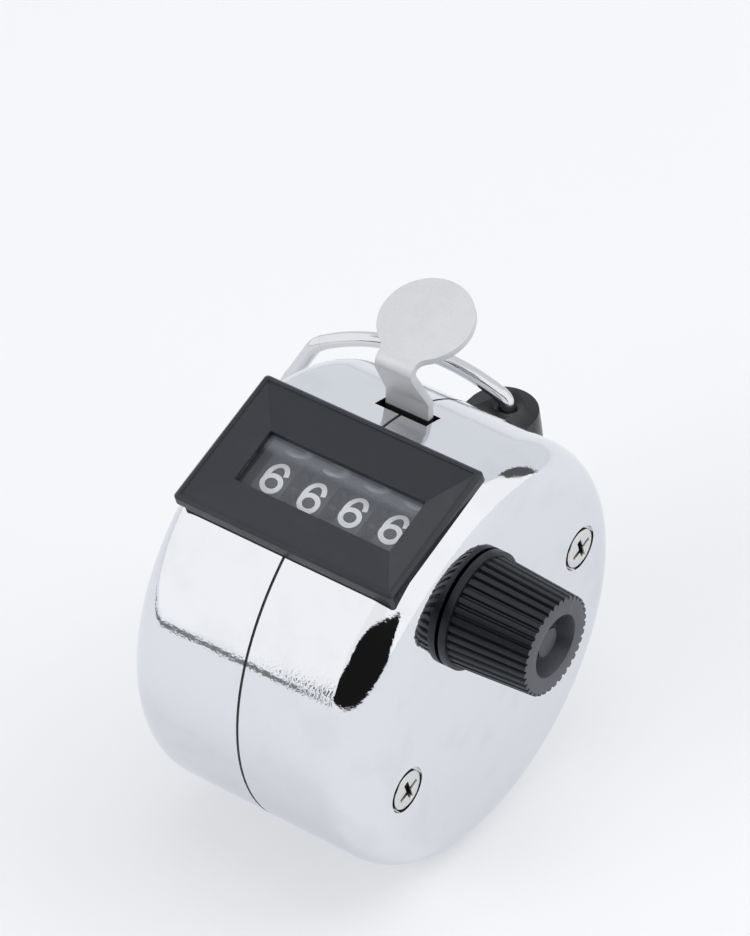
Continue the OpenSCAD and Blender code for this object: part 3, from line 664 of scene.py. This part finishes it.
class COUNTER_OT_window(bpy.types.Operator):
    """Black window frame and its clear lens"""

    bl_idname = "counter.window"
    bl_label = "Window frame and lens"

    def level_spots(self, piece, tilt):
        """A piece's vertices from the middle of the drum, turned so that the window lies level."""
        level = Matrix.Rotation(-tilt, 4, "X") @ Matrix.Translation(-DRUM_CENTRE)
        return [level @ vertex.co for vertex in piece.data.vertices]

    def extend_right_wall(self, piece, tilt):
        """Brings the front foot of the frame's right wall out to the wall itself."""
        spots = self.level_spots(piece, tilt)
        foot = max(spot.x for spot in spots if spot.z < DRUM_R - 1.2 * MM)
        wall = max(spot.x for spot in spots)
        near = 0.02 * MM

        def in_front_foot(vertex):
            spot = spots[vertex.index]
            return abs(spot.x - foot) < near and spot.y < 0

        select_where(piece, "VERT", in_front_foot)
        bpy.ops.transform.translate(value=(wall - foot, 0, 0))
        join_flat(near)

    def round_corners(self, piece, tilt, radius):
        """Rounds the frame's four outer corners, seen along the window's normal."""
        spots = self.level_spots(piece, tilt)
        near, tall = 0.35 * MM, 0.05 * MM
        wide = max(spot.x for spot in spots) - near
        low, high = min(spot.y for spot in spots) + near, max(spot.y for spot in spots) - near
        corner = [abs(spot.x) > wide and not low < spot.y < high for spot in spots]

        def upright(edge):
            first, last = edge.vertices
            return corner[first] and corner[last] and abs(spots[first].z - spots[last].z) > tall

        select_where(piece, "EDGE", upright)
        bpy.ops.mesh.bevel(offset=radius, segments=4, affect="EDGES")
        bpy.ops.object.mode_set(mode="OBJECT")

    def soften_rim(self, piece, tilt, width):
        """Rounds the frame's hard edges over, apart from those at its foot on the drum."""
        low, clear, opening = DRUM_R - 0.8 * MM, DRUM_R + 0.1 * MM, 9.5 * MM
        free = [spot.z > low and (math.hypot(spot.y, spot.z) > clear or abs(spot.x) < opening)
                for spot in self.level_spots(piece, tilt)]

        def hard_and_free(edge):
            return edge.select and all(free[end] for end in edge.vertices)

        select_where(piece, "EDGE", hard_and_free, HARD_EDGE)
        bpy.ops.mesh.bevel(offset=width, segments=EDGE_SEGMENTS, affect="EDGES", clamp_overlap=False)
        bpy.ops.object.mode_set(mode="OBJECT")

    def execute(self, context):
        sizes, colours = context.scene.counter_sizes, context.scene.counter_colours
        tilt = sizes.window_tilt
        moulding = frame_plastic("frame_moulding", tuple(colours.frame), tilt)
        dress(moulding, "window_frame")
        bezel = merged_copy("window_frame", "window_bezel")
        self.extend_right_wall(bezel, tilt)
        self.round_corners(bezel, tilt, 0.35 * MM)
        self.soften_rim(bezel, tilt, 0.08 * MM)
        stand_in(bezel, "window_frame", moulding, FRAME_SMOOTH_EDGE)
        dress(clear_plastic("lens_clear", tuple(colours.lens), tilt), "window_lens")
        return {"FINISHED"}


class COUNTER_OT_wheels(bpy.types.Operator):
    """Number wheels, their printed digits and the carry pinions"""

    bl_idname = "counter.wheels"
    bl_label = "Number wheels and digits"

    def loop(self, wide, tall, stroke):
        """A flat oval loop of this outer width and height."""
        start_object()
        bpy.ops.mesh.primitive_circle_add(vertices=64, radius=1, fill_type="NOTHING", location=(0, 0, 0))
        piece = bpy.context.object
        bpy.ops.object.mode_set(mode="EDIT")
        bpy.ops.mesh.select_all(action="SELECT")
        inner = (wide / 2 - stroke, tall / 2 - stroke)
        bpy.ops.transform.resize(value=(*inner, 1))
        bpy.ops.mesh.extrude_edges_move()
        bpy.ops.transform.resize(value=(wide / 2 / inner[0], tall / 2 / inner[1], 1))
        bpy.ops.object.mode_set(mode="OBJECT")
        return piece

    def curled(self, sizes, turned):
        """A six with a curled tail: a low loop and the upper left of a tall one. Turned round it is a nine."""
        bowl_tall = 0.615 * sizes.digit_height
        tail = self.loop(sizes.digit_width, sizes.digit_height, sizes.digit_stroke)
        bpy.ops.object.mode_set(mode="EDIT")
        bpy.ops.mesh.select_all(action="SELECT")
        cut = math.radians(24)
        bpy.ops.mesh.bisect(plane_co=(0, 0, 0), plane_no=(math.sin(cut), -math.cos(cut), 0), clear_outer=True)
        bpy.ops.object.mode_set(mode="OBJECT")
        bowl = self.loop(sizes.digit_width, bowl_tall, sizes.digit_stroke)
        bowl.data.transform(Matrix.Translation((0, (bowl_tall - sizes.digit_height) / 2, 0)))
        pick(tail, bowl)
        bpy.ops.object.join()
        if turned:
            tail.data.transform(Matrix.Rotation(math.pi, 4, "Z"))
        return tail

    def typed(self, number):
        """A digit in the built-in typeface, a little bolder."""
        start_object()
        bpy.ops.object.text_add(location=(0, 0, 0))
        text = bpy.context.object.data
        text.body = str(number)
        text.resolution_u = 6
        text.offset = 0.012
        bpy.ops.object.convert(target="MESH")
        return bpy.context.object

    def digit(self, sizes, number):
        """One digit as a flat sheet, cut into slices that can be bent round a wheel."""
        piece = self.curled(sizes, number == 9) if number in (6, 9) else self.typed(number)
        xs = [v.co.x for v in piece.data.vertices]
        ys = [v.co.y for v in piece.data.vertices]
        tall = sizes.digit_height / (max(ys) - min(ys))
        widest = 1.2 * tall
        wide = min(widest, sizes.digit_width / (max(xs) - min(xs)))
        middle = Vector(((max(xs) + min(xs)) / 2, (max(ys) + min(ys)) / 2, 0))
        piece.data.transform(Matrix.Diagonal((wide, tall, 1, 1)) @ Matrix.Translation(-middle))
        bpy.ops.object.mode_set(mode="EDIT")
        for k in range(1, DIGIT_SLICES):
            bpy.ops.mesh.select_all(action="SELECT")
            level = (k / DIGIT_SLICES - 0.5) * sizes.digit_height
            bpy.ops.mesh.bisect(plane_co=(0, level, 0), plane_no=(0, 1, 0))
        bpy.ops.object.mode_set(mode="OBJECT")
        return piece

    def band(self, sizes):
        """All ten digits as one print, bent round the wheels' axis at the middle of the drum."""
        pieces = []
        reach = WHEEL_R + PRINT_GAP
        for number in range(DIGITS):
            piece = self.digit(sizes, number)
            for vertex in piece.data.vertices:
                turn = vertex.co.y / WHEEL_R
                vertex.co = (vertex.co.x, reach * math.sin(turn), reach * math.cos(turn))
            turn = sizes.window_tilt - DIGIT_STEP * (sizes.shown_digit - number)
            piece.data.transform(Matrix.Translation(WHEEL_AXIS) @ Matrix.Rotation(turn, 4, "X"))
            pieces.append(piece)
        pick(*pieces)
        bpy.ops.object.join()
        band = bpy.context.object
        solid = band.modifiers.new("thickness", "SOLIDIFY")
        solid.thickness = sizes.print_thickness
        solid.offset = 1
        pick(band)
        bpy.ops.object.modifier_apply(modifier=solid.name)
        return band

    def band_middle(self, wheel):
        """Middle of a number wheel's printed band along X."""
        outer = WHEEL_R * 0.985
        rim = [v.co.x for v in NODES[wheel + "_wheel"].data.vertices
               if math.hypot(v.co.y - WHEEL_AXIS.y, v.co.z - WHEEL_AXIS.z) > outer]
        return (min(rim) + max(rim)) / 2

    def execute(self, context):
        sizes, colours = context.scene.counter_sizes, context.scene.counter_colours
        dress(moulded_plastic("wheel_moulding", tuple(colours.wheels), 0.5, 0.002),
              *[wheel + "_wheel" for wheel in WHEELS])
        dress(moulded_plastic("pinion_moulding", tuple(colours.pinions), 0.45, 0.002),
              *[wheel + "_pinion" for wheel in WHEELS[:-1]])
        paint = printed_paint("digit_print", tuple(colours.digits))
        bands = [self.band(sizes)]
        while len(bands) < len(WHEELS):
            pick(bands[0])
            bpy.ops.object.duplicate()
            bands.append(bpy.context.object)
        for wheel, piece in zip(WHEELS, bands):
            piece.name = wheel + "_digits"
            coat(piece, paint)
            slip = Matrix.Translation(WHEEL_AXIS) @ Matrix.Rotation(math.radians(SLIPS[wheel]), 4, "X")
            slip = slip @ Matrix.Translation(-WHEEL_AXIS)
            along = Vector((self.band_middle(wheel) + sizes.print_shift, 0, 0))
            piece.data.transform(Matrix.Translation(along) @ slip)
            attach(piece, wheel)
        return {"FINISHED"}


class COUNTER_OT_knob(bpy.types.Operator):
    """Ribbed reset knob"""

    bl_idname = "counter.knob"
    bl_label = "Reset knob"

    def execute(self, context):
        colours = context.scene.counter_colours
        moulding = knob_plastic("knob_moulding", tuple(colours.knob))
        dress(moulding, "reset_knob")
        soft_copy("reset_knob", "ribbed_knob", 0.06 * MM, moulding)
        return {"FINISHED"}


class COUNTER_OT_lever(bpy.types.Operator):
    """Satin thumb lever with its pawl"""

    bl_idname = "counter.lever"
    bl_label = "Thumb lever"

    def execute(self, context):
        colours = context.scene.counter_colours
        satin = lever_plate("lever_satin", tuple(colours.lever), SLOT_TOP)
        dress(satin, "thumb_lever", "pawl_rivets")
        soft_copy("thumb_lever", "satin_lever", 0.13 * MM, satin)
        pawl = satin_steel("pawl_spring_steel", shade(tuple(colours.steel), 0.8), (1, 0.1, 0.1), 0.3)
        dress(pawl, "drive_pawl")
        return {"FINISHED"}


class COUNTER_OT_ring(bpy.types.Operator):
    """Finger ring and the lug that holds it"""

    bl_idname = "counter.ring"
    bl_label = "Finger ring and lug"

    def execute(self, context):
        colours = context.scene.counter_colours
        dress(chrome_plate("ring_bright_wire", tuple(colours.wire), 0.04), "finger_ring")
        moulding = moulded_plastic("lug_moulding", tuple(colours.lug), 0.25, 0.002, 0.38)
        dress(moulding, "ring_lug")
        soft_copy("ring_lug", "black_ring_lug", 0.2 * MM, moulding)
        return {"FINISHED"}


class COUNTER_OT_works(bpy.types.Operator):
    """Plates, posts, shafts, springs, bushes and screws"""

    bl_idname = "counter.works"
    bl_label = "Inner works and screws"

    def widen(self, piece, chosen, factor, middle):
        """Scales the chosen vertices about a middle, across the drum's axis."""
        select_where(piece, "VERT", chosen)
        bpy.ops.transform.resize(value=(1, factor, factor), center_override=middle)
        bpy.ops.object.mode_set(mode="OBJECT")

    def screw_heads(self, node, name, side, material):
        """Screws whose heads stand a little proud of the drum's end, narrower and with wider crosses."""
        piece = merged_copy(node, name)
        seat, under = DRUM_HIGH.x - 0.8 * MM, DRUM_HIGH.x - 0.55 * MM
        cross_r, rise = 1.4 * MM, 0.32 * MM
        head_scale, cross_scale = 0.93, 1.1

        def in_head(vertex):
            return vertex.co.x * side > seat and (vertex.co.z - DRUM_CENTRE.z) * half > 0

        def on_top(vertex):
            return vertex.co.x * side > under

        def in_cross(vertex):
            return on_top(vertex) and math.hypot(vertex.co.y - middle[1], vertex.co.z - middle[2]) < cross_r

        for half in (-1, 1):
            head = [vertex.co for vertex in piece.data.vertices if in_head(vertex)]
            middle = [(min(co[k] for co in head) + max(co[k] for co in head)) / 2 for k in range(3)]
            self.widen(piece, in_head, head_scale, middle)
            self.widen(piece, in_cross, cross_scale, middle)
        select_where(piece, "VERT", on_top)
        bpy.ops.transform.translate(value=(side * rise, 0, 0))
        bpy.ops.object.mode_set(mode="OBJECT")
        soften(piece, node, 0.07 * MM, material, clamp=False)

    def coil(self, material):
        """Return spring: a smooth-shaded copy of its node, with a mesh of its own."""
        piece = merged_copy("return_spring", "return_coil")
        stand_in(piece, "return_spring", material)
        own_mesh(piece)

    def execute(self, context):
        colours = context.scene.counter_colours
        steel = tuple(colours.steel)
        dress(satin_steel("plate_steel", steel, (1, 1, 0.05), 0.34),
              "left_plate", "right_plate", "case_posts", "pinion_rod", "lever_guide", "guide_studs",
              "spring_bridge", "detent_block", "wheel_shaft")
        spring = satin_steel("spring_steel_wire", shade(steel, 0.8), (1, 1, 0.2), 0.28)
        dress(spring, "detent_spring", "shaft_clip", "return_spring")
        self.coil(spring)
        dress(satin_steel("bush_turned_brass", tuple(colours.brass), (1, 0.2, 0.2), 0.3),
              "left_bush", "right_bush", "units_ratchet")
        nickel = screw_plate("screw_nickel", tuple(colours.screws))
        dress(nickel, "left_screws", "right_screws")
        self.screw_heads("left_screws", "left_screw_heads", -1, nickel)
        self.screw_heads("right_screws", "right_screw_heads", 1, nickel)
        return {"FINISHED"}


class COUNTER_OT_stage(bpy.types.Operator):
    """Floor, soft lights, dark cards and camera"""

    bl_idname = "counter.stage"
    bl_label = "Studio"

    def floor(self, colour):
        """White paper that glows a little to the camera and in mirrors."""
        start_object()
        bpy.ops.mesh.primitive_circle_add(vertices=96, radius=1.2, fill_type="NGON", location=(0, 0, 0))
        piece = bpy.context.object
        piece.name = "studio_floor"
        material, f = new_finish("studio_floor_paper")
        seen, mirror = f.seen()
        paper = f.add("ShaderNodeBsdfDiffuse", None, {"Color": colour})
        tone = f.blend(mirror, (0.97, 0.975, 0.99), (0.84, 0.865, 0.92))
        glow = f.add("ShaderNodeEmission", None, {"Color": tone, "Strength": 1.0})
        f.show(f.mix(0.4 * seen, paper, glow))
        coat(piece, material)

    def world(self):
        """Pale surroundings, brighter in front, that light the counter at half strength."""
        world = bpy.data.worlds.new("studio_world")
        bpy.context.scene.world = world
        world.use_nodes = True
        f = Finish(world.node_tree)
        seen, _ = f.seen()
        soft = f.add("ShaderNodeBackground", None, {"Color": (0.95, 0.97, 1.0), "Strength": 0.5})
        depth = f.parts(f.add("ShaderNodeTexCoord", out="Generated"))[1]
        tone = f.blend(f.ramp(depth, 0.2, -0.6), (0.78, 0.8, 0.84), (0.98, 0.985, 1.0))
        white = f.add("ShaderNodeBackground", None, {"Color": tone, "Strength": 1.0})
        f.show(f.mix(seen, soft, white), "ShaderNodeOutputWorld")

    def lamp(self, name, place, size, watts):
        """A soft light that faces the drum and isn't seen in mirrors."""
        start_object()
        bpy.ops.object.light_add(type="AREA", location=place)
        lamp = bpy.context.object
        lamp.name = name
        lamp.data.shape = "RECTANGLE"
        lamp.data.size, lamp.data.size_y = size
        lamp.data.energy = watts
        lamp.rotation_euler = (DRUM_CENTRE - Vector(place)).to_track_quat("-Z", "Y").to_euler()
        lamp.visible_glossy = False

    def way(self, azimuth, elevation):
        """Direction from the drum at these angles."""
        flat = math.cos(elevation)
        return Vector((math.sin(azimuth) * flat, -math.cos(azimuth) * flat, math.sin(elevation)))

    def card(self, name, level, distance, corners):
        """A card seen only in reflections."""
        start_object()
        bpy.ops.mesh.primitive_circle_add(
            vertices=len(corners), radius=1, fill_type="NGON", location=(0, 0, 0))
        piece = bpy.context.object
        piece.name = name
        for vertex, corner in zip(piece.data.vertices, corners):
            vertex.co = DRUM_CENTRE + self.way(*map(math.radians, corner)) * distance
        material, f = new_finish(name + "_paper")
        f.show(f.add("ShaderNodeEmission", None, {"Color": (level, level, level * 1.02), "Strength": 1.0}))
        coat(piece, material)
        piece.visible_camera = False
        piece.visible_diffuse = False
        piece.visible_shadow = False

    def camera(self, view):
        """The view of the photograph."""
        start_object()
        place = DRUM_CENTRE + self.way(view.azimuth, view.elevation) * view.distance
        up = self.way(view.azimuth, view.elevation + math.pi / 2)
        aim = DRUM_CENTRE + up * view.rise
        bpy.ops.object.camera_add(location=place)
        camera = bpy.context.object
        camera.rotation_euler = (aim - place).to_track_quat("-Z", "Y").to_euler()
        camera.data.lens = view.lens
        camera.data.sensor_width = 36
        camera.data.clip_start = 0.01
        camera.data.clip_end = 20
        bpy.context.scene.camera = camera

    def execute(self, context):
        scene = context.scene
        scene.view_settings.view_transform = "Standard"
        self.floor(tuple(scene.counter_colours.floor))
        self.world()
        for lamp in LAMPS:
            self.lamp(*lamp)
        for card in CARDS:
            self.card(*card)
        self.camera(scene.counter_view)
        return {"FINISHED"}


OPERATORS = (
    COUNTER_OT_shells,
    COUNTER_OT_window,
    COUNTER_OT_wheels,
    COUNTER_OT_knob,
    COUNTER_OT_lever,
    COUNTER_OT_ring,
    COUNTER_OT_works,
    COUNTER_OT_stage,
)


class COUNTER_PT_panel(bpy.types.Panel):
    """Steps that dress the counter"""

    bl_idname = "COUNTER_PT_panel"
    bl_label = "Tally counter"
    bl_space_type = "VIEW_3D"
    bl_region_type = "UI"
    bl_category = "Counter"

    def draw(self, context):
        for operator in OPERATORS:
            self.layout.operator(operator.bl_idname)
        for name in GROUPS:
            group = getattr(context.scene, name)
            box = self.layout.box()
            for setting in group.__annotations__:
                box.prop(group, setting)


GROUPS = {"counter_sizes": CounterSizes, "counter_colours": CounterColours, "counter_view": CounterView}


def register():
    for cls in (*GROUPS.values(), *OPERATORS, COUNTER_PT_panel):
        bpy.utils.register_class(cls)
    for name, group in GROUPS.items():
        setattr(bpy.types.Scene, name, bpy.props.PointerProperty(type=group))


def unregister():
    for name in GROUPS:
        delattr(bpy.types.Scene, name)
    for cls in (COUNTER_PT_panel, *reversed(OPERATORS), *reversed(GROUPS.values())):
        bpy.utils.unregister_class(cls)


def main():
    register()
    bpy.ops.counter.shells()
    bpy.ops.counter.window()
    bpy.ops.counter.wheels()
    bpy.ops.counter.knob()
    bpy.ops.counter.lever()
    bpy.ops.counter.ring()
    bpy.ops.counter.works()
    bpy.ops.counter.stage()


if __name__ == "__main__":
    main()
